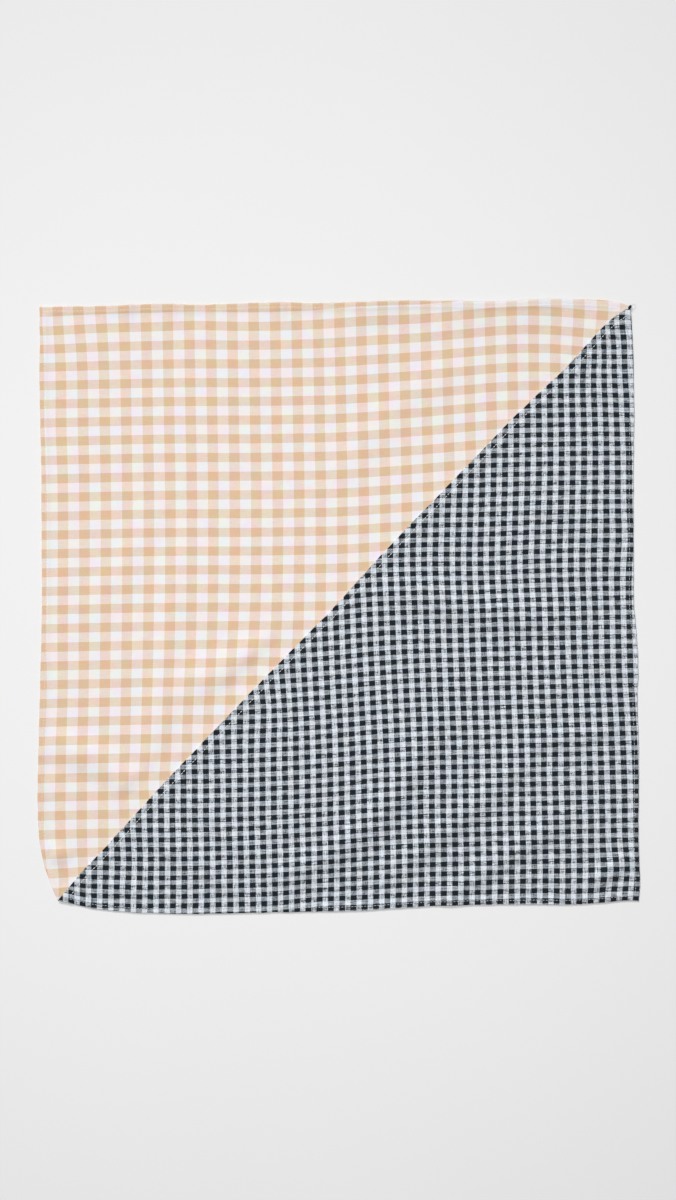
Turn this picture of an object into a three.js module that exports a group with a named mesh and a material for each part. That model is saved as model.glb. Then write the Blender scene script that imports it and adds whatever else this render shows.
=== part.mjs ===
// A square two-tone gingham bandana, laid out flat and face up.
// It has a tan half and a navy half, each cut as a right triangle. The halves are joined corner to corner
// on the diagonal, where the turned-under navy edge lies on the tan allowance and is topstitched to it.
// Millimetres, +Z up. X runs to the right along the near hem and Y runs away from it. The origin lies on
// the surface, under the middle of the cloth.
import * as THREE from "three";

const { smoothstep } = THREE.MathUtils;

// Cloth
const SHEET = 1.0; // thickness of a single layer
const TURNED = 1.3; // thickness where the edge is turned under and stitched
const HEM_WIDTH = 4.6;
const HEM_STEP = 0.8; // width over which a hem thins to a single layer
const TAN = 0xe9d5c1; // mean colour of the tan and white checks
const NAVY = 0x7f8790; // mean colour of the navy and pale blue-grey checks

// Diagonal seam
const LAP = 9; // how far the tan allowance runs under the navy edge
const LAP_TAPER = 26; // the allowance narrows to nothing over this length at both corners
const LAP_GAP = 0.3; // height between the tan allowance and the navy edge over it
const LAP_REST = 0.5; // the navy edge stays raised this far past the allowance
const LAP_STEP = 3; // width over which the navy cloth comes down to the surface
const LAP_SHOWS = 1; // the tan cloth thins to a single layer this far outside the navy edge
const SEAM_FLAT = 12; // no fold rises nearer to the seam edge than this
const SEAM_EASE = 20; // folds reach their full height over this further distance
const FOLD_END = 0.25; // share of a fold's length over which its crest rises at each end

// Mesh
const SPANS = 42; // spans along each side of a panel
const SIDES = 3;

// Corners. The two halves share both ends of the seam.
const UPPER_LEFT = [-281.5, 282];
const LOWER_RIGHT = [281.5, -276.5];
const SEAM_LOW_END = [-264.3, -276.3];
const SEAM_HIGH_END = [273.1, 281.6];

// Edges, as points that a smooth curve passes through between two corners.
const UPPER_EDGE = [
  [-248, 282],
  [-206, 282.6],
  [-168, 284.4],
  [-131, 283.5],
  [-74, 285.6],
  [-8, 285.1],
  [67, 287.3],
  [142, 286.3],
  [198, 288.7],
  [225, 288.7],
  [245, 288.2],
  [262, 286],
  [270, 283.5],
];
const LEFT_EDGE = [
  [-281, 250],
  [-281.5, 213],
  [-279.7, 119],
  [-279.2, 6],
  [-281, -88],
  [-282.7, -154],
  [-282.8, -200],
  [-280, -229],
  [-274.5, -251],
];
const LOWER_EDGE = [
  [-257, -277.8],
  [-240, -281.6],
  [-222, -284.8],
  [-187, -287.6],
  [-131, -288.6],
  [-84, -287.7],
  [6, -286.1],
  [57, -283.3],
  [95, -281.4],
  [151, -280],
  [208, -280],
  [245, -278.6],
  [270, -276],
];
const RIGHT_EDGE = [
  [282.9, -257],
  [281.2, -219],
  [281.6, -144],
  [280.4, -88],
  [281.1, -55],
  [278.4, -13],
  [276.9, 16],
  [276.7, 119],
  [277.2, 185],
  [275.9, 246],
  [274.6, 270],
];
const SEAM_EDGE = [
  [-257.7, -268.2],
  [-238.5, -245.8],
  [-224.8, -231.7],
  [-161.3, -162.3],
  [-96.2, -94.5],
  [-57.2, -53.8],
  [-4.4, -0.3],
  [46.1, 55.5],
  [124.5, 136.6],
  [150.3, 164],
  [190.8, 203.3],
  [218.1, 229.6],
  [244.6, 259.2],
  [257.2, 270.8],
  [266.6, 277.5],
];

// Soft folds. The crest of each follows its path at the height of rise, and its flanks reach the surface at
// reach from the crest.
const TAN_FOLDS = [
  { rise: 1.9, reach: 28, path: [[-150, -78], [-110, -58], [-66, -36]] }, // under the middle of the seam
  { rise: 1.2, reach: 22, path: [[-155, 44], [-163, -41], [-176, -158]] }, // down the left half
  { rise: 0.6, reach: 24, path: [[-161, 111], [-195, 51], [-240, -17]] }, // across the left side
  { rise: 0.9, reach: 26, path: [[1, 128], [53, 187], [109, 226]] }, // along the upper part of the seam
  { rise: 2.4, reach: 24, path: [[-266, -132], [-232, -140], [-205, -160], [-190, -178]] }, // above the lower left corner
  { rise: 2.2, reach: 14, path: [[-270, -230], [-246, -246]] }, // into the lower left corner
  { rise: 1.9, reach: 26, path: [[-203, 286], [-192, 286]] }, // puckers of the upper hem, from the left
  { rise: 1.9, reach: 26, path: [[-163, 287], [-152, 287]] },
  { rise: 1.7, reach: 26, path: [[-62, 288], [-48, 288]] },
  { rise: 2.3, reach: 34, path: [[8, 288], [40, 289], [62, 289]] },
  { rise: 2.2, reach: 38, path: [[96, 290], [150, 290], [210, 291]] },
];
const NAVY_FOLDS = [
  { rise: 3.2, reach: 22, path: [[-62, -258], [-5, -230], [24, -211], [53, -178], [70, -149], [88, -112]] }, // main fold
  { rise: 2.7, reach: 20, path: [[50, -250], [83, -224], [125, -190], [165, -153], [180, -128]] }, // second, beside it
  { rise: 2.6, reach: 18, path: [[104, -272], [165, -229], [208, -200]] }, // third, towards the right corner
  { rise: 3.4, reach: 26, path: [[30, 30], [62, 15], [90, 7], [120, -2], [155, -8], [212, -8]] }, // from the seam to the right
  { rise: 2.2, reach: 13, path: [[190, -128], [256, -116]] }, // short, by the right hem
  { rise: 2.6, reach: 16, path: [[-190, -196], [-145, -236], [-102, -264]] }, // outer, at the lower left
  { rise: 2.4, reach: 16, path: [[-142, -178], [-107, -212], [-70, -249]] }, // inner, at the lower left
  { rise: 2.6, reach: 13, path: [[234, -260], [252, -251], [272, -236]] }, // lower right corner
  { rise: 1.9, reach: 14, path: [[-62, -66], [-51, -102], [-43, -130], [-42, -152]] }, // down from the seam
  { rise: 1.4, reach: 15, path: [[170, 94], [210, 92], [255, 84]] }, // short, at the upper right
  { rise: 1.2, reach: 12, path: [[144, -64], [170, -62]] }, // small ones, from the right half to the lower left
  { rise: 1.2, reach: 11, path: [[236, -48], [264, -42]] },
  { rise: 1.3, reach: 10, path: [[-236, -256], [-205, -265], [-180, -269]] },
];

function range(count) {
  return Array.from({ length: count }, (_, k) => k);
}

function vectors(points) {
  return points.map(([x, y]) => new THREE.Vector2(x, y));
}

function edgeCurve(from, through, to) {
  return new THREE.SplineCurve(vectors([from, ...through, to]));
}

function reversed(points) {
  return [...points].reverse();
}

// The unit vector a quarter turn to the left.
function leftOf(direction) {
  return new THREE.Vector2(-direction.y, direction.x);
}

// The nearest place on a path of straight stretches: how far off it is, and its share of the path's length.
function nearestOnPath(point, path) {
  const stretch = new THREE.Vector2();
  const offset = new THREE.Vector2();
  const best = { distance: Infinity, along: 0 };
  let before = 0;
  for (let k = 0; k < path.length - 1; k += 1) {
    stretch.subVectors(path[k + 1], path[k]);
    const length = stretch.length();
    stretch.divideScalar(length);
    const along = THREE.MathUtils.clamp(offset.subVectors(point, path[k]).dot(stretch), 0, length);
    const distance = offset.addScaledVector(stretch, -along).length();
    if (distance < best.distance) Object.assign(best, { distance, along: before + along });
    before += length;
  }
  return { distance: best.distance, share: best.along / before };
}

const seamCurve = edgeCurve(SEAM_LOW_END, SEAM_EDGE, SEAM_HIGH_END);
const seamPath = seamCurve.getSpacedPoints(2 * SPANS);

// Distance from the visible seam edge.
function distanceFromSeam(point) {
  return nearestOnPath(point, seamPath).distance;
}

// Height of the folds over a point. A fold is a round ridge whose crest drops towards both ends.
function foldHeight(point, folds) {
  const clearOfSeam = smoothstep(distanceFromSeam(point), SEAM_FLAT, SEAM_FLAT + SEAM_EASE);
  return folds.reduce((height, { rise, reach, path }) => {
    const { distance, share } = nearestOnPath(point, vectors(path));
    if (distance >= reach) return height;
    const across = 0.5 + 0.5 * Math.cos((Math.PI * distance) / reach);
    const crest = smoothstep(Math.min(share, 1 - share), -FOLD_END, FOLD_END);
    return height + rise * across * crest * clearOfSeam;
  }, 0);
}

// One side of a panel set in by a distance, and cut short at both ends to meet its neighbours.
function insetSide(curve, inset, startTrim, endTrim) {
  const length = curve.getLength();
  return range(SPANS + 1).map((k) => {
    const share = THREE.MathUtils.lerp(startTrim, length - endTrim, k / SPANS) / length;
    return curve.getPointAt(share).addScaledVector(leftOf(curve.getTangentAt(share)), inset);
  });
}

// A closed loop of points, set in from each side by its own distance. The sides run anticlockwise.
function insetLoop(curves, insets) {
  const corners = curves.map((curve, side) => {
    const before = (side + SIDES - 1) % SIDES;
    const arriving = curves[before].getTangentAt(1);
    const leaving = curve.getTangentAt(0);
    const cosine = -arriving.dot(leaving);
    const sine = arriving.cross(leaving);
    return {
      leavingTrim: (insets[before] + insets[side] * cosine) / sine,
      arrivingTrim: (insets[side] + insets[before] * cosine) / sine,
    };
  });
  const sides = curves.map((curve, side) =>
    insetSide(curve, insets[side], corners[side].leavingTrim, corners[(side + 1) % SIDES].arrivingTrim),
  );
  // Neighbouring sides share the point halfway between their ends.
  return sides.flatMap((points, side) => {
    const before = sides[(side + SIDES - 1) % SIDES];
    const shared = points[0].clone().add(before[SPANS]).multiplyScalar(0.5);
    return [shared, ...points.slice(1, SPANS)];
  });
}

// Place in a loop of a point on the border of the triangular lattice, or -1 for an inner point.
// Column i counts steps towards the second corner and row j counts steps towards the third.
function borderPlace(i, j) {
  if (j === 0) return i;
  if (i + j === SPANS) return SPANS + j;
  if (i === 0) return SIDES * SPANS - j;
  return -1;
}

// An inner lattice point, blended from the three sides of the loop around it.
function latticePoint(loop, i, j) {
  const at = (place) => loop[place % loop.length];
  const k = SPANS - i - j;
  const blend = new THREE.Vector2();
  const add = (point, share) => blend.addScaledVector(point, share / SPANS);
  const [first, second, third] = [at(0), at(SPANS), at(2 * SPANS)];
  add(at(i), k);
  add(at(SIDES * SPANS - j), k);
  add(first, -k);
  add(at(SPANS + j), i);
  add(at(SPANS - k), i);
  add(second, -i);
  add(at(2 * SPANS + k), j);
  add(at(2 * SPANS - i), j);
  add(third, -j);
  return blend;
}

// Triangles of the band between two neighbouring rings.
function bandTriangles(ringIndex, ring) {
  return range(SIDES * SPANS).flatMap((k) => {
    const [a, b] = [ringIndex(ring, k), ringIndex(ring, k + 1)];
    const [c, d] = [ringIndex(ring + 1, k + 1), ringIndex(ring + 1, k)];
    return [
      [a, b, c],
      [a, c, d],
    ];
  });
}

// Triangles of the lattice inside the innermost ring.
function latticeTriangles(index) {
  return range(SPANS).flatMap((i) =>
    range(SPANS - i).flatMap((j) => {
      const low = [index[i][j], index[i + 1][j], index[i][j + 1]];
      const high = [index[i + 1][j], index[i + 1][j + 1], index[i][j + 1]];
      return i + j < SPANS - 1 ? [low, high] : [low];
    }),
  );
}

// A closed solid of one panel: rings along its sides, a triangular lattice inside them, and the same again
// as its underside. Each ring has its insets from the three sides and its thickness.
function panelGeometry(curves, rings, undersideAt) {
  const loopLength = SIDES * SPANS;
  const innermost = rings.length - 1;
  const ringIndex = (ring, k) => ring * loopLength + (k % loopLength);
  const loops = rings.map(({ insets }) => insetLoop(curves, insets));

  // A column is a point of the outline or lattice, with the thickness of the cloth there.
  const columns = rings.flatMap(({ thickness }, ring) => loops[ring].map((point) => ({ point, thickness })));
  const latticeIndex = range(SPANS + 1).map((i) =>
    range(SPANS + 1 - i).map((j) => {
      const place = borderPlace(i, j);
      if (place >= 0) return ringIndex(innermost, place);
      columns.push({ point: latticePoint(loops[innermost], i, j), thickness: SHEET });
      return columns.length - 1;
    }),
  );

  const under = columns.length;
  const upper = [
    ...range(innermost).flatMap((ring) => bandTriangles(ringIndex, ring)),
    ...latticeTriangles(latticeIndex),
  ];
  const lower = upper.map(([a, b, c]) => [under + a, under + c, under + b]);
  const wall = range(loopLength).flatMap((k) => {
    const [a, b] = [ringIndex(0, k), ringIndex(0, k + 1)];
    return [
      [a, under + a, under + b],
      [a, under + b, b],
    ];
  });

  const heights = columns.map(({ point }) => undersideAt(point));
  const top = columns.flatMap(({ point, thickness }, n) => [point.x, point.y, heights[n] + thickness]);
  const bottom = columns.flatMap(({ point }, n) => [point.x, point.y, heights[n]]);
  const geometry = new THREE.BufferGeometry();
  geometry.setAttribute("position", new THREE.Float32BufferAttribute([...top, ...bottom], 3));
  geometry.setIndex([...upper, ...lower, ...wall].flat());
  geometry.computeVertexNormals();
  return geometry;
}

// The hidden edge of the tan allowance, under the navy edge, from its low end to its high end.
function allowanceCurve() {
  const length = seamCurve.getLength();
  const points = range(SPANS + 1).map((k) => {
    const share = k / SPANS;
    const fromEnd = Math.min(share, 1 - share) * length;
    const width = LAP * smoothstep(fromEnd, 0, LAP_TAPER);
    const towardsNavy = leftOf(seamCurve.getTangentAt(share)).negate();
    return seamCurve.getPointAt(share).addScaledVector(towardsNavy, width);
  });
  return new THREE.SplineCurve(points);
}

function namedPanel(name, color, geometry) {
  const cloth = new THREE.MeshStandardMaterial({ color, roughness: 0.9, metalness: 0 });
  const panel = new THREE.Mesh(geometry, cloth);
  panel.name = name;
  return panel;
}

// The rings of a panel with hems on its first two sides and the seam on its third: the edge, the end of
// the turned band, and where the cloth is a single layer again.
function panelRings(seamBand, seamStep) {
  const thin = HEM_WIDTH + HEM_STEP;
  return [
    { insets: [0, 0, 0], thickness: TURNED },
    { insets: [HEM_WIDTH, HEM_WIDTH, seamBand], thickness: TURNED },
    { insets: [thin, thin, seamBand + seamStep], thickness: SHEET },
  ];
}

// Tan half: upper hem, left hem and seam allowance. It lies on the surface all over.
function tanPanel() {
  const curves = [
    edgeCurve(SEAM_HIGH_END, reversed(UPPER_EDGE), UPPER_LEFT),
    edgeCurve(UPPER_LEFT, LEFT_EDGE, SEAM_LOW_END),
    allowanceCurve(),
  ];
  const underside = (point) => foldHeight(point, TAN_FOLDS);
  return namedPanel("tan_panel", TAN, panelGeometry(curves, panelRings(LAP, LAP_SHOWS), underside));
}

// Navy half: lower hem, right hem and the turned-under diagonal edge, which lies over the tan allowance.
function navyPanel() {
  const curves = [
    edgeCurve(SEAM_LOW_END, LOWER_EDGE, LOWER_RIGHT),
    edgeCurve(LOWER_RIGHT, RIGHT_EDGE, SEAM_HIGH_END),
    edgeCurve(SEAM_HIGH_END, reversed(SEAM_EDGE), SEAM_LOW_END),
  ];
  const raised = LAP + LAP_REST;
  const underside = (point) => {
    const down = smoothstep(distanceFromSeam(point), raised, raised + LAP_STEP);
    return (TURNED + LAP_GAP) * (1 - down) + foldHeight(point, NAVY_FOLDS);
  };
  return namedPanel("navy_panel", NAVY, panelGeometry(curves, panelRings(raised, LAP_STEP), underside));
}

const bandana = new THREE.Group();
bandana.add(tanPanel(), navyPanel());

export default bandana;
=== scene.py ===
# A two-tone gingham bandana, laid out flat, face up, and seen from straight above.
# Places and lengths are in millimetres, as in the CAD source, until MM turns them into metres.
import math

import bpy
import numpy as np
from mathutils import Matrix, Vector, noise


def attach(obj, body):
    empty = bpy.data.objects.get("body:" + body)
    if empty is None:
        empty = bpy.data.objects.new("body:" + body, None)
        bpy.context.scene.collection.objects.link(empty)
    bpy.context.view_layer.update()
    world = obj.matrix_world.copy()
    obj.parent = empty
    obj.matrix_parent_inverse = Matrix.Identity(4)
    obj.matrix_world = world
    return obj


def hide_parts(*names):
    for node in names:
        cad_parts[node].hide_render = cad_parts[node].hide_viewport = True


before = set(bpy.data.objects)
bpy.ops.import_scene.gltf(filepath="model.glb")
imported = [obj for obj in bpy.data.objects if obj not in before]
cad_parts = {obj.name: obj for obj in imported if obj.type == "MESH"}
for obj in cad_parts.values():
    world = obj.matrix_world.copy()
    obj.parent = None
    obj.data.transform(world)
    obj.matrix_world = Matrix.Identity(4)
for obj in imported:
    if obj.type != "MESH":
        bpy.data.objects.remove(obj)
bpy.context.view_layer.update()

MM = 0.001

# Cloth, in section
LAYER = 0.4  # thickness of one layer of cloth
REST = 0.27  # height of the underside over the surface, where the stitches under the hems hold it
HEM_BAND = 4.8  # width of the turned hem, which is two more layers under the cloth
HEM_FALL = 4.4  # past the hem, the cloth comes down to the surface over this width
HEM_STITCH = 4.0  # distance of the hem's row of stitches from the edge
SEAM_BAND = 9.0  # width of the turned-under navy edge, one more layer
SEAM_FALL = 4.5
SEAM_STITCH = 6.0  # distance of the topstitch from the navy fold
LAP = 9.0  # how far the tan allowance runs under the navy edge
LAP_TAPER = 26.0  # the allowance narrows to nothing over this length at both corners
LAP_BAND = 7.0  # width of the allowance's own turned edge
LAP_LIFT = 0.95  # height of the navy edge over the level of the tan cloth
LAP_CLEAR = 0.3  # the navy edge stays up this far past the tan allowance
PRESSED = 0.5  # share of its height that the tan hem keeps at the seam, which presses it flat
PRESSED_WITHIN = (1, 8)  # distances from the seam over which the hem rises to its full height
TURN_END = 0.3  # width over which the end of a turned layer steps up
HEM_THREAD = 0.46  # thickness of the hem's thread
SEAM_THREAD = 0.62
GROOVE_WIDTH = 0.7  # half width of the groove that a row of stitches pulls into the cloth
HEM_GROOVE = 0.22
SEAM_GROOVE = 0.3

WAVER = 0.45  # how far the edges waver from their smooth line
WAVER_LENGTH = 11.0

# Folds
SEAM_FLAT = 12.0  # no soft fold rises nearer to the seam than this
SEAM_EASE = 16.0
FOLD_END = 0.25  # share of a fold's length over which its crest rises at each end
RIPPLES = [(0.5, 34, 3.7), (0.16, 11, 8.1)]  # height, width and seed of the fine ripples
RIPPLES_AT_HEM = 0.35  # share of their height that the ripples keep at a hem
RIPPLES_EASE = (2, 22)  # distances from the hem over which they rise to their full height

# Mesh
SPANS = 240  # spans along each side of a panel
SIDES = 3
CORNER_REACH = 60.0  # two inset lines meet within this distance of their corner
CORNER_STEP = 0.1

# Corners. The two halves share both ends of the seam.
UPPER_LEFT = (-281.5, 282)
LOWER_RIGHT = (281.5, -276.5)
SEAM_LOW_END = (-264.3, -276.3)
SEAM_HIGH_END = (273.1, 281.6)

# Edges, as points that a smooth curve passes through between two corners.
UPPER_EDGE = [
    (-248, 282),
    (-206, 282.6),
    (-168, 284.4),
    (-131, 283.5),
    (-74, 285.6),
    (-8, 285.1),
    (67, 287.3),
    (142, 286.3),
    (198, 288.7),
    (225, 288.7),
    (245, 288.2),
    (262, 286),
    (270, 283.5),
]
LEFT_EDGE = [
    (-281, 250),
    (-281.5, 213),
    (-279.7, 119),
    (-279.2, 6),
    (-281, -88),
    (-282.7, -154),
    (-282.8, -200),
    (-280, -229),
    (-274.5, -251),
]
LOWER_EDGE = [
    (-257, -277.8),
    (-240, -281.6),
    (-222, -284.8),
    (-187, -287.6),
    (-131, -288.6),
    (-84, -287.7),
    (6, -286.1),
    (57, -283.3),
    (95, -281.4),
    (151, -280),
    (208, -280),
    (245, -278.6),
    (270, -276),
]
RIGHT_EDGE = [
    (282.9, -257),
    (281.2, -219),
    (281.6, -144),
    (280.4, -88),
    (281.1, -55),
    (278.4, -13),
    (276.9, 16),
    (276.7, 119),
    (277.2, 185),
    (275.9, 246),
    (274.6, 270),
]
SEAM_EDGE = [
    (-257.7, -268.2),
    (-238.5, -245.8),
    (-224.8, -231.7),
    (-161.3, -162.3),
    (-96.2, -94.5),
    (-57.2, -53.8),
    (-4.4, -0.3),
    (46.1, 55.5),
    (124.5, 136.6),
    (150.3, 164),
    (190.8, 203.3),
    (218.1, 229.6),
    (244.6, 259.2),
    (257.2, 270.8),
    (266.6, 277.5),
]

# Soft folds: how high the crest rises, how far the flanks reach from it, and the path of the crest.
TAN_FOLDS = [
    (1.9, 28, [(-150, -78), (-110, -58), (-66, -36)]),  # under the middle of the seam
    (1.2, 22, [(-155, 44), (-163, -41), (-176, -158)]),  # down the left half
    (0.6, 24, [(-161, 111), (-195, 51), (-240, -17)]),  # across the left side
    (0.9, 26, [(1, 128), (53, 187), (109, 226)]),  # along the upper part of the seam
    (2.4, 24, [(-266, -132), (-232, -140), (-205, -160), (-190, -178)]),  # above the lower left corner
    (2.2, 14, [(-270, -230), (-246, -246)]),  # into the lower left corner
    (1.9, 26, [(-203, 286), (-192, 286)]),  # puckers of the upper hem, from the left
    (1.9, 26, [(-163, 287), (-152, 287)]),
    (1.7, 26, [(-62, 288), (-48, 288)]),
    (2.3, 34, [(8, 288), (40, 289), (62, 289)]),
    (2.2, 38, [(96, 290), (150, 290), (210, 291)]),
]
NAVY_FOLDS = [
    (3.2, 22, [(-62, -258), (-5, -230), (24, -211), (53, -178), (70, -149), (88, -112)]),  # main fold
    (2.7, 20, [(50, -250), (83, -224), (125, -190), (165, -153), (180, -128)]),  # second, beside it
    (2.6, 18, [(104, -272), (165, -229), (208, -200)]),  # third, towards the right corner
    (3.4, 26, [(30, 30), (62, 15), (90, 7), (120, -2), (155, -8), (212, -8)]),  # from the seam to the right
    (2.2, 13, [(190, -128), (256, -116)]),  # short, by the right hem
    (2.6, 16, [(-190, -196), (-145, -236), (-102, -264)]),  # outer, at the lower left
    (2.4, 16, [(-142, -178), (-107, -212), (-70, -249)]),  # inner, at the lower left
    (2.6, 13, [(234, -260), (252, -251), (272, -236)]),  # lower right corner
    (1.9, 14, [(-62, -66), (-51, -102), (-43, -130), (-42, -152)]),  # down from the seam
    (1.4, 15, [(170, 94), (210, 92), (255, 84)]),  # short, at the upper right
    (1.2, 12, [(144, -64), (170, -62)]),  # small ones, from the right half to the lower left
    (1.2, 11, [(236, -48), (264, -42)]),
    (1.3, 10, [(-236, -256), (-205, -265), (-180, -269)]),
]

# The checks. The cloth lies a little out of square, so its columns lean and its rows climb.
# repeat: width and height of one repeat of the pattern.
# first: the middle of a dark square near the middle of the cloth.
# columns_lean: how far the cloth's columns lie to the left of their true place, at each height.
# rows_climb: how far its rows lie below their true place, at each distance across.
# pulls: places where the cloth is drawn aside, as (x, y), reach, and how far it lies left and below.
TAN_CHECKS = {
    "repeat": (20.19, 17.58),
    "first": (1.9, -0.5),
    "columns_lean": [
        (-290, 1.2), (-200, 1.4), (-140, 0.9), (-80, 0), (-20, -0.8), (40, -1.2), (110, -1.1), (170, -0.2),
        (240, 0.9), (290, 1.6),
    ],
    "rows_climb": [
        (-290, 3.2), (-240, 1.9), (-160, 0.3), (-80, 0), (-40, -0.6), (0, -1.6), (40, -4.2), (80, -7.3),
        (120, -10.9), (160, -14.2), (200, -14.4), (240, -11), (290, -8),
    ],
    "pulls": [
        ((-115, -125), 55, 3.3, 0),
        ((-80, -60), 35, 2, -1.6),
        ((-170, -165), 25, 1.6, 0),
        ((-285, -80), 40, -1.2, 0),
        ((265, 285), 40, -6, 0),
        ((205, 275), 25, -1.2, 0.6),
        ((-240, 285), 35, 3, 0),
        ((-275, 265), 35, 0.8, 1.4),
        ((-135, 265), 30, 0, -1.1),
        ((15, 290), 45, 0, -2.5),
        ((-272, -262), 30, -4, 2),
        ((-80, -30), 50, 1, 0),
        ((-178, -170), 28, 1, 0),
        ((-285, 170), 35, 1.3, 0),
    ],
}
NAVY_CHECKS = {
    "repeat": (10.603, 9.11),
    "first": (1.3, -4.8),
    "columns_lean": [
        (-290, -1.6), (-240, -2), (-200, -1.2), (-160, -1), (-120, -0.1), (-80, 1.6), (-40, 3.3), (0, 4.5),
        (40, 6.2), (80, 5.4), (120, 4.4), (160, 4.2), (200, 4.9), (240, 5.8), (290, 6.5),
    ],
    "rows_climb": [
        (-290, 9), (-240, 12.5), (-200, 13.8), (-160, 13.9), (-120, 13.4), (-80, 12.1), (-40, 9.9), (0, 6.9),
        (40, 3.4), (80, 1), (120, -0.1), (160, -1.4), (200, -2.4), (240, -3.2), (290, -3.6),
    ],
    "pulls": [
        ((-110, -290), 45, 0, -2.2),
        ((-20, -288), 40, 0, -2.5),
        ((-210, -285), 35, 0, -1.5),
        ((262, -247), 20, -2.6, -0.6),
        ((225, -283), 24, 0, 2),
        ((-266, -281), 20, 0, -7.5),
        ((266, 273), 20, 4, 0),
        ((233, 238), 20, -2.2, 0),
        ((285, -190), 45, -1, -1.1),
        ((280, 60), 32, -3, 0),
        ((280, 230), 42, 3.4, 0.8),
        ((-78, -92), 28, -2.4, 0),
        ((20, 15), 42, 0, -1.9),
        ((140, 45), 36, 0, 1.2),
        ((60, -40), 80, 0, -0.7),
        ((285, -20), 60, 0, -0.7),
        ((283, 170), 28, 1.2, 0.8),
        ((262, -62), 32, 0.8, 0),
        ((-62, -108), 28, -0.7, 0),
        ((-85, -288), 30, -1.2, 0),
        ((200, -160), 20, 0.8, 0),
        ((160, -10), 30, 0, -0.7),
        ((-165, -286), 22, 0, -1.1),
        ((285, -120), 30, 0, -0.8),
        ((-200, -238), 20, -0.8, 0),
        ((240, -200), 24, -0.7, 0),
        ((160, -35), 26, -0.7, 0),
    ],
}


def smoothstep(value, low, high):
    share = np.clip((value - low) / (high - low), 0, 1)
    return share * share * (3 - 2 * share)


def smooth_curve(points, per_span=24):
    """Points close together on the smooth curve through the given ones."""
    points = np.array(points, float)
    ends = np.vstack([points[:1], points, points[-1:]])
    t = np.linspace(0, 1, per_span, endpoint=False)[:, None]
    spans = [
        0.5 * (2 * b + (c - a) * t + (2 * a - 5 * b + 4 * c - d) * t**2 + (3 * b - a - 3 * c + d) * t**3)
        for a, b, c, d in zip(ends, ends[1:], ends[2:], ends[3:])
    ]
    return np.vstack([*spans, points[-1:]])


class Edge:
    """One side of a panel: a curve that can be walked by distance, with the cloth on its left.

    Where there is an overlap, the cloth also runs on so far to the right of the curve."""

    def __init__(self, points, overlap=0.0):
        steps = np.hypot(*np.diff(points, axis=0).T)
        self.points = points
        self.along = np.concatenate([[0], np.cumsum(steps)])
        self.length = self.along[-1]
        self.overlap = np.broadcast_to(overlap, len(points))
        tangents = np.gradient(points, self.along, axis=0)
        self.lefts = np.column_stack([-tangents[:, 1], tangents[:, 0]])

    def at(self, distance, rows):
        return np.column_stack([np.interp(distance, self.along, row) for row in rows.T])

    def inset(self, distance, inset):
        """Places so far inside the panel's edge, at each distance along it."""
        left = self.at(distance, self.lefts)
        left /= np.linalg.norm(left, axis=1, keepdims=True)
        from_curve = inset - np.interp(distance, self.along, self.overlap)
        return self.at(distance, self.points) + left * from_curve[:, None]

    def depth(self, places):
        """How far inside the panel's edge each place lies."""
        away, walked, side = nearest(places, self.points)
        return away * side + np.interp(walked, self.along, self.overlap)


def nearest(places, path):
    """How far each place is from a path, how far along it that is, and 1 on the path's left, else -1."""
    path = np.asarray(path, float)
    lengths = np.hypot(*np.diff(path, axis=0).T)
    before = np.concatenate([[0], np.cumsum(lengths)])
    distance = np.full(len(places), np.inf)
    walked = np.zeros(len(places))
    side = np.ones(len(places))
    for start, end, length, passed in zip(path, path[1:], lengths, before):
        way = (end - start) / length
        offset = places - start
        along = np.clip(offset @ way, 0, length)
        away = np.hypot(*(offset - along[:, None] * way).T)
        closer = away < distance
        distance[closer] = away[closer]
        walked[closer] = passed + along[closer]
        across = way[0] * offset[:, 1] - way[1] * offset[:, 0]
        side[closer] = np.where(across[closer] < 0, -1, 1)
    return distance, walked, side


def edge_between(start, through, end, seed):
    """The smooth edge between two corners, which wavers a little where its stitches draw it in."""
    edge = Edge(smooth_curve([start, *through, end]))
    from_end = np.minimum(edge.along, edge.length - edge.along)
    waver = [noise.noise(Vector((walked / WAVER_LENGTH, seed, 0))) for walked in edge.along]
    return Edge(edge.inset(edge.along, WAVER * np.array(waver) * smoothstep(from_end, 0, WAVER_LENGTH)))


def allowance(edge):
    """The same edge walked the other way. Its allowance runs on past it and narrows at both ends."""
    from_end = np.minimum(edge.along, edge.length - edge.along)
    return Edge(edge.points[::-1], LAP * smoothstep(from_end, 0, LAP_TAPER)[::-1])


seam = edge_between(SEAM_HIGH_END, SEAM_EDGE[::-1], SEAM_LOW_END, 1.5)

PANELS = {
    "tan": [
        edge_between(SEAM_HIGH_END, UPPER_EDGE[::-1], UPPER_LEFT, 2.5),
        edge_between(UPPER_LEFT, LEFT_EDGE, SEAM_LOW_END, 3.5),
        allowance(seam),
    ],
    "navy": [
        edge_between(SEAM_LOW_END, LOWER_EDGE, LOWER_RIGHT, 4.5),
        edge_between(LOWER_RIGHT, RIGHT_EDGE, SEAM_HIGH_END, 5.5),
        seam,
    ],
}


# Heights of the cloth

def fold_height(places, folds):
    height = np.zeros(len(places))
    for rise, reach, path in folds:
        distance, walked, _ = nearest(places, path)
        share = walked / np.hypot(*np.diff(path, axis=0).T).sum()
        across = 0.5 + 0.5 * np.cos(np.pi * np.clip(distance / reach, 0, 1))
        crest = smoothstep(np.minimum(share, 1 - share), -FOLD_END, FOLD_END)
        height += rise * across * crest
    return height


def swells(places, width, seed):
    """Smooth chance heights from 0 to 1, each swell about so wide."""
    heights = [noise.noise(Vector((x / width, y / width, seed))) for x, y in places]
    return 0.5 + 0.5 * np.array(heights)


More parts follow.
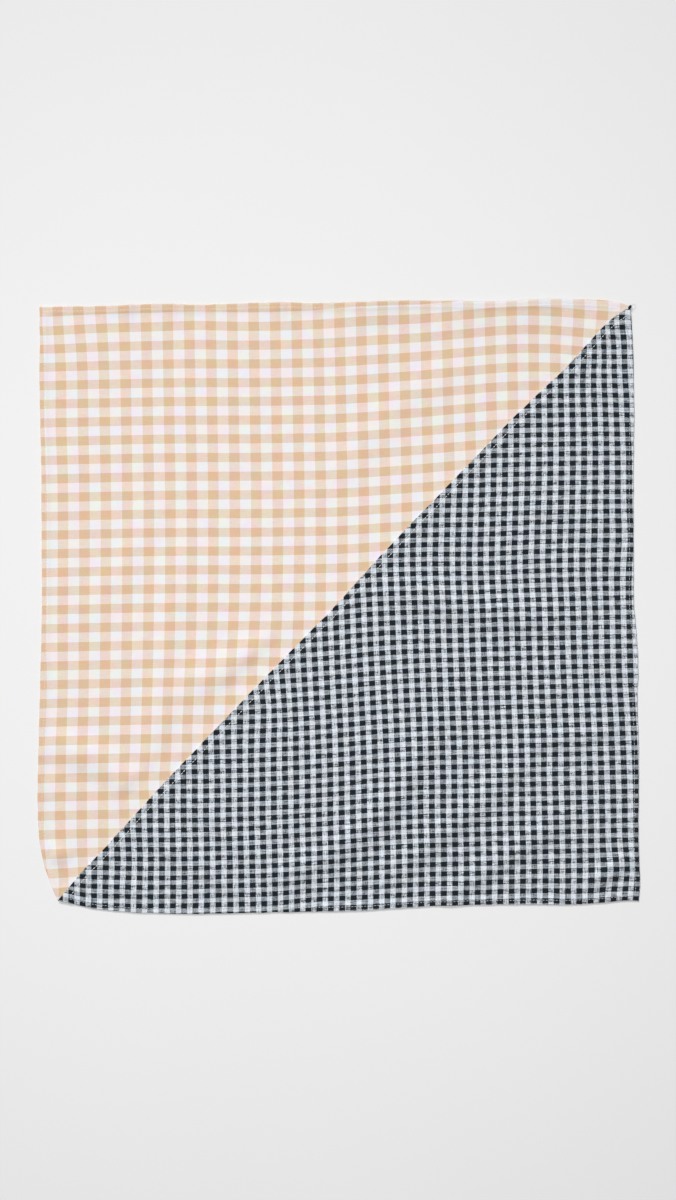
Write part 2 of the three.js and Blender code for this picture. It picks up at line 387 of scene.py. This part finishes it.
def turned_layers(distance, band, fall, layers):
    """Height that a turned edge gives the cloth over it, and the share of that height it fills itself."""
    height = layers * LAYER * (1 - smoothstep(distance, band, band + fall))
    filled = 1 - np.clip((distance - band) / TURN_END, 0, 1)
    return height, filled


def groove(distance, depth):
    return depth * np.exp(-((distance / GROOVE_WIDTH) ** 2))


def surfaces(panel, places):
    """Heights of the upper and the lower face of a panel's cloth."""
    first, second, third = PANELS[panel]
    from_hem = np.minimum(first.depth(places), second.depth(places))
    from_third = third.depth(places)
    tan_side = -seam.depth(places)

    hem_height, hem_filled = turned_layers(from_hem, HEM_BAND, HEM_FALL, 2)
    if panel == "tan":
        band_height, band_filled = turned_layers(from_third, LAP_BAND, SEAM_FALL, 1)
        hem_height *= PRESSED + (1 - PRESSED) * smoothstep(tan_side, *PRESSED_WITHIN)
        lift = 0
    else:
        band_height, band_filled = turned_layers(from_third, SEAM_BAND, SEAM_FALL, 1)
        raised = LAP + LAP_CLEAR
        lift = LAP_LIFT * (1 - smoothstep(from_third, raised, raised + SEAM_FALL))

    soft = smoothstep(np.abs(tan_side), SEAM_FLAT, SEAM_FLAT + SEAM_EASE)
    folds = fold_height(places, TAN_FOLDS if panel == "tan" else NAVY_FOLDS) * soft
    ripples = sum(height * swells(places, width, seed) for height, width, seed in RIPPLES)
    ripples *= RIPPLES_AT_HEM + (1 - RIPPLES_AT_HEM) * smoothstep(from_hem, *RIPPLES_EASE)
    base = REST + folds + ripples + lift

    turned = np.maximum(hem_height, band_height)
    upper = base + LAYER + turned
    upper -= groove(from_hem - HEM_STITCH, HEM_GROOVE) + groove(tan_side + SEAM_STITCH, SEAM_GROOVE)
    lower = base + turned * (1 - hem_filled) * (1 - band_filled)

    # The edge is a fold, so it is round.
    from_edge = np.minimum(from_hem, from_third)
    middle = 0.5 * (upper + lower)
    round_over = 0.5 * (upper - lower)
    roundness = np.sqrt(1 - np.clip(1 - from_edge / np.maximum(round_over, 0.01), 0, 1) ** 2)
    return middle + round_over * roundness, middle - round_over * roundness


# The mesh of a panel: rings along its sides and a triangular lattice inside them

HEM_RINGS = [0, 0.06, 0.2, 0.42, 0.8, 2.0, 3.3, 4.0, 4.7, 5.15, 6.2, 7.6, 9.4]
SEAM_RINGS = [0, 0.05, 0.15, 0.35, 0.8, 2.8, 5.3, 6.0, 6.7, 8.95, 9.35, 11.5, 14.2]
LAP_RINGS = [0, 0.05, 0.15, 0.35, 0.8, 2.2, 3.4, 4.6, 6.95, 7.35, 8.9, 10.2, 12.5]


def corner_trim(edge, inset, neighbour, clearance, from_end):
    """How much of an edge's inset line, at its start or its end, is too near to the neighbouring edge."""
    walked = np.arange(0, CORNER_REACH, CORNER_STEP)
    clear = neighbour.depth(edge.inset(edge.length - walked if from_end else walked, inset))
    short = np.flatnonzero(clear < clearance)
    return walked[short[-1]] if len(short) else 0.0


def inset_loop(edges, insets):
    """A closed loop, set in from each edge by its own distance, with SPANS points to a side."""
    sides = []
    for side, edge in enumerate(edges):
        after = (side + 1) % SIDES
        start = corner_trim(edge, insets[side], edges[side - 1], insets[side - 1], False)
        stop = edge.length - corner_trim(edge, insets[side], edges[after], insets[after], True)
        sides.append(edge.inset(np.linspace(start, stop, SPANS + 1), insets[side]))
    # Neighbouring sides share the point halfway between their ends.
    return np.vstack([
        np.vstack([(points[:1] + sides[side - 1][-1:]) / 2, points[1:-1]])
        for side, points in enumerate(sides)
    ])


def lattice_points(loop, i, j):
    """Inner lattice points, blended from the three sides of the loop around them."""
    k = SPANS - i - j
    first, second, third = loop[0], loop[SPANS], loop[2 * SPANS]
    share = [(n / SPANS)[:, None] for n in (i, j, k)]
    return (
        share[2] * (loop[i] + loop[SIDES * SPANS - j] - first)
        + share[0] * (loop[SPANS + j] + loop[SPANS - k] - second)
        + share[1] * (loop[2 * SPANS + k] + loop[2 * SPANS - i] - third)
    )


def panel_layout(edges, rings):
    """Places of a panel's columns, and its faces seen from above."""
    loop_length = SIDES * SPANS
    loops = [inset_loop(edges, insets) for insets in rings]
    last = len(loops) - 1
    faces = []
    for ring in range(last):
        for k in range(loop_length):
            after = (k + 1) % loop_length
            outer, inner = ring * loop_length, (ring + 1) * loop_length
            faces.append((outer + k, outer + after, inner + after, inner + k))

    i, j = np.array([(i, j) for i in range(SPANS + 1) for j in range(SPANS + 1 - i)]).T
    border = np.select([j == 0, i + j == SPANS, i == 0], [i, SPANS + j, (loop_length - j) % loop_length], -1)
    inner = border < 0
    number = np.where(inner, (last + 1) * loop_length + np.cumsum(inner) - 1, last * loop_length + border)
    at = {(a, b): n for a, b, n in zip(i.tolist(), j.tolist(), number.tolist())}
    for a, b in at:
        if a + b < SPANS:
            faces.append((at[a, b], at[a + 1, b], at[a, b + 1]))
        if a + b < SPANS - 1:
            faces.append((at[a + 1, b], at[a + 1, b + 1], at[a, b + 1]))
    places = np.vstack([*loops, lattice_points(loops[last], i[inner], j[inner])])
    return places, faces


def check_place(places, checks):
    """Where each place lies in the pattern of checks, counted in repeats across and up the cloth."""
    x, y = places.T
    lean = smooth_curve(checks["columns_lean"])
    climb = smooth_curve(checks["rows_climb"])
    across = x + np.interp(y, *lean.T)
    up = y + np.interp(x, *climb.T)
    for (pull_x, pull_y), reach, left, below in checks["pulls"]:
        share = np.exp(-((x - pull_x) ** 2 + (y - pull_y) ** 2) / reach**2)
        across += left * share
        up += below * share
    return np.column_stack(
        [(across - checks["first"][0]) / checks["repeat"][0], (up - checks["first"][1]) / checks["repeat"][1]]
    )


def make_object(name, vertices, faces, material):
    mesh = bpy.data.meshes.new(name)
    mesh.from_pydata(np.asarray(vertices) * MM, [], faces)
    mesh.materials.append(material)
    mesh.shade_smooth()
    made = bpy.data.objects.new(name, mesh)
    bpy.context.scene.collection.objects.link(made)
    return made


def lay_checks(piece, repeats):
    """Gives each vertex of a piece its place in the pattern."""
    corners = np.empty(len(piece.data.loops), int)
    piece.data.loops.foreach_get("vertex_index", corners)
    piece.data.uv_layers.new(name="checks").data.foreach_set("uv", repeats[corners].ravel())


def cloth_panel(name, panel, rings, checks, material):
    """A panel as one closed sheet: its upper and lower faces meet along the outermost ring."""
    places, faces = panel_layout(PANELS[panel], rings)
    upper, lower = surfaces(panel, places)
    edge = SIDES * SPANS
    vertices = np.vstack([np.column_stack([places, upper]), np.column_stack([places, lower])[edge:]])
    below = [tuple(n if n < edge else n + len(places) - edge for n in reversed(face)) for face in faces]
    cloth = make_object(name, vertices, faces + below, material)
    lay_checks(cloth, check_place(vertices[:, :2], checks))
    return cloth


# Stitches

STITCH_PITCH = 3.1
STITCH_GAP = 0.5
THREAD_SIDES = 6
STITCH_LENGTHS = (-0.25, 0.1)  # how far a stitch's length departs from the usual one
STITCH_WANDER = 0.18  # how far the row wanders from its line
STITCH_WANDER_LENGTH = 20
STITCH_LEAN = 0.12  # how far a stitch's two ends lie apart across the row
SEAM_ROW_START = 9.0  # distance of the topstitch's ends from the corners
# Radius and height along a stitch, as shares of the thread's radius
STITCH_ROUNDING = np.array([0.35, 0.8, 1.0, 1.0, 1.0, 0.8, 0.35])
STITCH_ARCH = np.array([-0.9, -0.1, 0.3, 0.45, 0.3, -0.1, -0.9])


def joined(parts):
    """The vertices and faces of several meshes, as one."""
    vertices, faces, count = [], [], 0
    for part_vertices, part_faces in parts:
        vertices.append(part_vertices)
        faces += [[count + n for n in face] for face in part_faces]
        count += len(part_vertices)
    return np.vstack(vertices), faces


def tube(path, radii, sides):
    """A tube along a path of points in space, closed at both ends."""
    path = np.asarray(path, float)
    along = np.gradient(path, axis=0)
    aside = np.cross(along, (0, 0, 1))
    aside /= np.linalg.norm(aside, axis=1, keepdims=True)
    above = np.cross(aside, along)
    above /= np.linalg.norm(above, axis=1, keepdims=True)
    turns = np.linspace(0, 2 * np.pi, sides, endpoint=False)[:, None]
    vertices = np.vstack([
        point + radius * (np.cos(turns) * right + np.sin(turns) * up)
        for point, radius, right, up in zip(path, radii, aside, above)
    ])
    faces = [
        (ring + k, ring + (k + 1) % sides, ring + sides + (k + 1) % sides, ring + sides + k)
        for ring in range(0, len(vertices) - sides, sides)
        for k in range(sides)
    ]
    return vertices, [*faces, range(sides)[::-1], range(len(vertices) - sides, len(vertices))]


def stitch_row(edge, inset, thickness, height_at, upside, start, seed):
    """A row of stitches on one face of the cloth: each is a short thread with both ends in the cloth."""
    random = np.random.default_rng(seed)
    count = int((edge.length - 2 * start) / STITCH_PITCH)
    begins = start + STITCH_PITCH * (np.arange(count) + (0.0 if upside > 0 else 0.5))
    lengths = STITCH_PITCH - STITCH_GAP + random.uniform(*STITCH_LENGTHS, count)
    wander = [noise.noise(Vector((begin / STITCH_WANDER_LENGTH, seed, 0))) for begin in begins]
    insets = inset + STITCH_WANDER * np.array(wander)
    lean = random.uniform(-STITCH_LEAN, STITCH_LEAN, count)
    share = np.linspace(0, 1, len(STITCH_ARCH))
    walked = (begins[:, None] + lengths[:, None] * share).ravel()
    places = edge.inset(walked, (insets[:, None] + lean[:, None] * (share - 0.5)).ravel())
    heights = height_at(places) + upside * thickness / 2 * np.tile(STITCH_ARCH, count)
    paths = np.column_stack([places, heights]).reshape(count, len(share), 3)
    return joined(tube(path, thickness / 2 * STITCH_ROUNDING, THREAD_SIDES) for path in paths)


def face_height(panel, face):
    return lambda places: surfaces(panel, places)[face]


def hem_stitches(panel, seed):
    """The row along both hems of a panel, on the upper and the lower face."""
    return joined(
        stitch_row(edge, HEM_STITCH, HEM_THREAD, face_height(panel, face), upside, HEM_STITCH, seed + k)
        for k, edge in enumerate(PANELS[panel][:2])
        for face, upside in ((0, 1), (1, -1))
    )


def seam_stitches(seed):
    """The topstitch along the navy fold. It comes out under the tan allowance."""
    faces = (("navy", 0, 1), ("tan", 1, -1))
    return joined(
        stitch_row(seam, SEAM_STITCH, SEAM_THREAD, face_height(panel, face), upside, SEAM_ROW_START, seed)
        for panel, face, upside in faces
    )


# The upper right corner, where the end of the navy hem is rolled up and a cut thread sticks out

ROLL_SIDES = 20
ROLL = [  # x, y, height and radius along the roll
    (273.4, 276.8, 1.2, 0.35),
    (273.1, 277.9, 1.5, 0.7),
    (272.5, 279.2, 1.8, 0.95),
    (272.7, 280.4, 1.9, 1.2),
    (273.4, 281.6, 1.9, 1.3),
    (274.1, 282.5, 1.7, 0.95),
    (274.5, 283.0, 1.4, 0.3),
]
ROLL_CRUMPLE = 0.22  # how far the roll's face is crumpled
ROLL_CRUMPLE_SCALE = 0.9
ROLL_CHECKS = [(0.45, 0.4), (-0.15, -0.1)]  # place in the pattern at its lower and its upper end
TAIL = [  # x, y and height along the cut thread
    (274.0, 282.4, 2.4),
    (275.2, 283.0, 2.9),
    (276.4, 283.2, 2.7),
    (277.4, 283.8, 2.0),
    (278.2, 284.2, 1.2),
]
TAIL_THREAD = 0.34


def corner_roll():
    path = smooth_curve(ROLL, 5)
    vertices, faces = tube(path[:, :3], path[:, 3], ROLL_SIDES)
    crumple = [ROLL_CRUMPLE * noise.noise(Vector(vertex) * ROLL_CRUMPLE_SCALE) for vertex in vertices]
    return vertices + np.array(crumple)[:, None], faces


def roll_checks(roll):
    """The roll passes from a plain square of the pattern at its lower end to a dark one."""
    rings = len(roll.data.vertices) // ROLL_SIDES
    share = np.repeat(np.linspace(0, 1, rings), ROLL_SIDES)[:, None]
    lower_end, upper_end = np.array(ROLL_CHECKS)
    return lower_end + (upper_end - lower_end) * share


def thread_tail():
    path = smooth_curve(TAIL, 6)
    return tube(path, np.full(len(path), TAIL_THREAD / 2), THREAD_SIDES)


# Materials

class Graph:
    """The node graph of one material."""

    def __init__(self, name):
        self.material = bpy.data.materials.new(name)
        self.material.use_nodes = True
        self.nodes = self.material.node_tree.nodes
        self.links = self.material.node_tree.links
        self.shader = self.nodes["Principled BSDF"]

    def set(self, socket, value):
        if isinstance(value, bpy.types.NodeSocket):
            self.links.new(value, socket)
        else:
            socket.default_value = value

    def node(self, kind, inputs, output=0, **settings):
        node = self.nodes.new("ShaderNode" + kind)
        for name, value in settings.items():
            setattr(node, name, value)
        for name, value in inputs.items():
            self.set(node.inputs[name], value)
        return node.outputs[output]

    def math(self, operation, *values):
        return self.node("Math", dict(enumerate(values)), operation=operation)

    def scaled(self, vector, scale):
        return self.node("VectorMath", {0: vector, 1: scale}, operation="MULTIPLY")

    def noise(self, vector, scale=1.0, detail=2.0):
        return self.node("TexNoise", {"Vector": vector, "Scale": scale, "Detail": detail})

    def ramp(self, value, start, stop, low, high):
        inputs = {"Value": value, "From Min": start, "From Max": stop, "To Min": low, "To Max": high}
        return self.node("MapRange", inputs, interpolation_type="SMOOTHSTEP")

    def mix(self, factor, a, b, blend="MIX"):
        inputs = {"Factor": factor, 6: a, 7: b}
        return self.node("Mix", inputs, output=2, data_type="RGBA", blend_type=blend)


def albedo(code):
    """Linear colour of a six-digit sRGB code."""
    parts = [int(code[k:k + 2], 16) / 255 for k in (0, 2, 4)]
    return (*[(c / 12.92 if c <= 0.04045 else ((c + 0.055) / 1.055) ** 2.4) for c in parts], 1.0)


# Slubs of the cloth, as their number per millimetre across and up, and their share in the streaks
WEFT_SLUBS = (0.1, 0.8, 0.0)
WARP_SLUBS = (0.85, 0.14, 0.0)
WARP_SHARE = 0.7
SPECKS = (0.9, 1.1, 0.0)
SPECKS_SHARE = 0.8
STREAKS_MEAN = 0.5 * (1 + WARP_SHARE + SPECKS_SHARE)
DRIFT_SCALE = 0.075  # drifts of the dye per millimetre
DRIFT_PLACES = (0.0, 40.0)  # millimetres between the patterns of the two drifts


def gingham(name, checks, look):
    """Plain-woven cotton checks. Both sets of threads change colour every half repeat."""
    graph = Graph(name)
    repeats = graph.node("UVMap", {}, uv_map="checks")
    cloth = graph.scaled(repeats, (*checks["repeat"], 0.0))  # millimetres on the cloth

    # The dyed threads, with edges that wander by a thread or so
    wander = graph.noise(graph.scaled(cloth, (0.5, 0.5, 0.0)), detail=3.0)
    wander = graph.math("MULTIPLY", graph.math("SUBTRACT", wander, 0.5), look["wander"])
    across, up = (graph.node("SeparateXYZ", {"Vector": repeats}, output=axis) for axis in (0, 1))
    warp = graph.math("PINGPONG", graph.math("ADD", across, wander), 0.5)
    weft = graph.math("PINGPONG", graph.math("ADD", up, wander), 0.5)
    border, soft = look["dyed"] / 2, look["soft"]
    warp_dyed = graph.ramp(warp, border - soft, border + soft, 1.0, 0.0)
    weft_dyed = graph.ramp(weft, border - soft, border + soft, 1.0, 0.0)
    undyed_weft = graph.mix(warp_dyed, look["plain"], look["warp_only"])
    dyed_weft = graph.mix(warp_dyed, look["weft_only"], look["full"])
    colour = graph.mix(weft_dyed, undyed_weft, dyed_weft)

    # Each thick or thin thread shows as a streak, most of all where dyed threads cross plain ones.
    weft_slubs = graph.noise(graph.scaled(cloth, WEFT_SLUBS), detail=3.0)
    warp_slubs = graph.noise(graph.scaled(cloth, WARP_SLUBS), detail=3.0)
    specks = graph.noise(graph.scaled(cloth, SPECKS))
    streaks = graph.math("MULTIPLY_ADD", specks, SPECKS_SHARE, weft_slubs)
    streaks = graph.math("MULTIPLY_ADD", warp_slubs, WARP_SHARE, streaks)
    streaks = graph.math("SUBTRACT", streaks, STREAKS_MEAN)
    streaked = look["streaks"]
    undyed_weft = graph.ramp(warp_dyed, 0.0, 1.0, streaked["plain"], streaked["warp_only"])
    dyed_weft = graph.ramp(warp_dyed, 0.0, 1.0, streaked["weft_only"], streaked["full"])
    strength = graph.ramp(weft_dyed, 0.0, 1.0, undyed_weft, dyed_weft)
    shade = graph.math("MULTIPLY_ADD", streaks, strength, 1.0)
    shade = graph.node("CombineColor", {0: shade, 1: shade, 2: shade})
    colour = graph.mix(1.0, colour, shade, "MULTIPLY")

    # Slow drifts of the dye
    for (first, second), offset in zip(look["drifts"], DRIFT_PLACES):
        place = graph.node("VectorMath", {0: cloth, 1: (offset, 0.0, 0.0)}, operation="ADD")
        drift = graph.ramp(graph.noise(place, scale=DRIFT_SCALE), 0.3, 0.7, 0.0, 1.0)
        colour = graph.mix(1.0, colour, graph.mix(drift, first, second), "MULTIPLY")
    graph.set(graph.shader.inputs["Base Color"], colour)

    # Threads over and under each other
    threads = look["threads"]
    weave = graph.math(
        "MULTIPLY",
        graph.math("SINE", graph.math("MULTIPLY", across, math.pi * threads[0])),
        graph.math("SINE", graph.math("MULTIPLY", up, math.pi * threads[1])),
    )
    height = graph.math("ADD", graph.math("MULTIPLY", weave, 0.5), graph.math("MULTIPLY", streaks, 1.5))
    bump = graph.node("Bump", {"Strength": 0.4, "Distance": 0.12 * MM, "Height": height})
    graph.set(graph.shader.inputs["Normal"], bump)
    graph.set(graph.shader.inputs["Roughness"], graph.ramp(weft_slubs, 0.2, 0.8, 0.78, 0.95))
    graph.set(graph.shader.inputs["Sheen Weight"], 0.12)
    graph.set(graph.shader.inputs["Sheen Roughness"], 0.5)
    graph.set(graph.shader.inputs["Specular IOR Level"], 0.2)
    return graph.material


def thread(name, colour):
    """Spun sewing thread, a little uneven in shade."""
    graph = Graph(name)
    place = graph.node("TexCoord", {}, output=3)
    fibres = graph.noise(place, scale=2500.0)
    shade = graph.ramp(fibres, 0.3, 0.7, 0.86, 1.0)
    shade = graph.node("CombineColor", {0: shade, 1: shade, 2: shade})
    graph.set(graph.shader.inputs["Base Color"], graph.mix(1.0, colour, shade, "MULTIPLY"))
    bump = graph.node("Bump", {"Strength": 0.3, "Distance": 0.05 * MM, "Height": fibres})
    graph.set(graph.shader.inputs["Normal"], bump)
    graph.set(graph.shader.inputs["Roughness"], 0.55)
    graph.set(graph.shader.inputs["Specular IOR Level"], 0.35)
    return graph.material


TAN_LOOK = {
    "plain": albedo("edeaef"),
    "warp_only": albedo("e8d6cc"),
    "weft_only": albedo("e5d2c5"),
    "full": albedo("dcbc9e"),
    "drifts": ((albedo("fff6fc"), albedo("f7fffb")), (albedo("fbfcff"), albedo("fffef2"))),
    "dyed": 0.49,
    "wander": 0.03,
    "soft": 0.015,
    "streaks": {"plain": 0.06, "warp_only": 0.16, "weft_only": 0.16, "full": 0.12},
    "threads": (40, 36),
}
NAVY_LOOK = {
    "plain": albedo("d6dae0"),
    "warp_only": albedo("8a9096"),
    "weft_only": albedo("a2a7ad"),
    "full": albedo("111a22"),
    "drifts": ((albedo("fffdff"), albedo("fcffff")), (albedo("fbfdff"), albedo("fffffd"))),
    "dyed": 0.53,
    "wander": 0.04,
    "soft": 0.015,
    "streaks": {"plain": 0.9, "warp_only": 2.8, "weft_only": 3.8, "full": 1.5},
    "threads": (22, 18),
}

tan_gingham = gingham("tan gingham", TAN_CHECKS, TAN_LOOK)
navy_gingham = gingham("navy gingham", NAVY_CHECKS, NAVY_LOOK)

tan_thread = thread("tan thread", albedo("f1e6da"))
navy_thread = thread("navy thread", albedo("c9ccd2"))
seam_thread = thread("seam thread", albedo("efeeec"))

tan_rings = list(zip(HEM_RINGS, HEM_RINGS, LAP_RINGS))
navy_rings = list(zip(HEM_RINGS, HEM_RINGS, SEAM_RINGS))
tan_cloth = cloth_panel("tan_cloth", "tan", tan_rings, TAN_CHECKS, tan_gingham)
navy_cloth = cloth_panel("navy_cloth", "navy", navy_rings, NAVY_CHECKS, navy_gingham)
tan_stitches = make_object("tan_hem_stitches", *hem_stitches("tan", seed=11), tan_thread)
navy_rows = hem_stitches("navy", seed=21)
navy_stitches = make_object("navy_hem_stitches", *joined([navy_rows, thread_tail()]), navy_thread)
topstitch = make_object("seam_topstitch", *seam_stitches(seed=41), seam_thread)
roll = make_object("corner_roll", *corner_roll(), navy_gingham)
lay_checks(roll, roll_checks(roll))

# Floor, light and camera

FRAME_HEIGHT = 1128  # millimetres of the surface that the photograph spans from top to bottom
FRAME_MIDDLE = (-0.94, 6.2)
LENS = 85
SENSOR = 36
FLOOR_HALF = 20000
WORLD_LIGHT = 0.245


def floor_material():
    graph = Graph("studio floor")
    place = graph.node("TexCoord", {}, output=3)
    grain = graph.noise(place, scale=3.0)
    graph.set(graph.shader.inputs["Base Color"], graph.mix(grain, albedo("e6e6e6"), albedo("e8e8e8")))
    graph.set(graph.shader.inputs["Roughness"], 0.9)
    graph.set(graph.shader.inputs["Specular IOR Level"], 0.0)
    return graph.material


def area_light(name, place, target, size, power):
    """A round light that faces its target. Its place, target and size are in metres."""
    light = bpy.data.lights.new(name, "AREA")
    light.shape = "DISK"
    light.size = size
    light.energy = power
    lamp = bpy.data.objects.new(name, light)
    lamp.location = place
    lamp.rotation_euler = (Vector(target) - Vector(place)).to_track_quat("-Z", "Y").to_euler()
    lamp.visible_camera = False
    bpy.context.scene.collection.objects.link(lamp)


floor_corners = FLOOR_HALF * np.array([(-1, -1, 0), (1, -1, 0), (1, 1, 0), (-1, 1, 0)])
floor = make_object("floor", floor_corners, [(0, 1, 2, 3)], floor_material())

area_light("key", (-5.32, 11.44, 8.8), (0, 0, 0), 4.5, 1650)
area_light("fill", (-0.1, 0, 1.5), (-0.1, 0, 0), 0.6, 10.9)

world = bpy.data.worlds.new("studio")
world.use_nodes = True
background = world.node_tree.nodes["Background"].inputs
background["Color"].default_value = (1, 1, 1, 1)
background["Strength"].default_value = WORLD_LIGHT
bpy.context.scene.world = world
bpy.context.scene.view_settings.view_transform = "Standard"

camera_data = bpy.data.cameras.new("camera")
camera_data.lens = LENS
camera_data.sensor_width = SENSOR
camera = bpy.data.objects.new("camera", camera_data)
camera.location = (FRAME_MIDDLE[0] * MM, FRAME_MIDDLE[1] * MM, FRAME_HEIGHT * MM * LENS / SENSOR)
bpy.context.scene.collection.objects.link(camera)
bpy.context.scene.camera = camera

# What carries each piece, and what the pieces replace

for piece, slot in (
    (tan_cloth, "tan_gingham"),
    (navy_cloth, "navy_gingham"),
    (tan_stitches, "sewing_thread"),
    (navy_stitches, "sewing_thread"),
    (topstitch, "sewing_thread"),
    (roll, "navy_gingham"),
):
    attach(piece, "root")
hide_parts("tan_panel")
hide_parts("navy_panel")
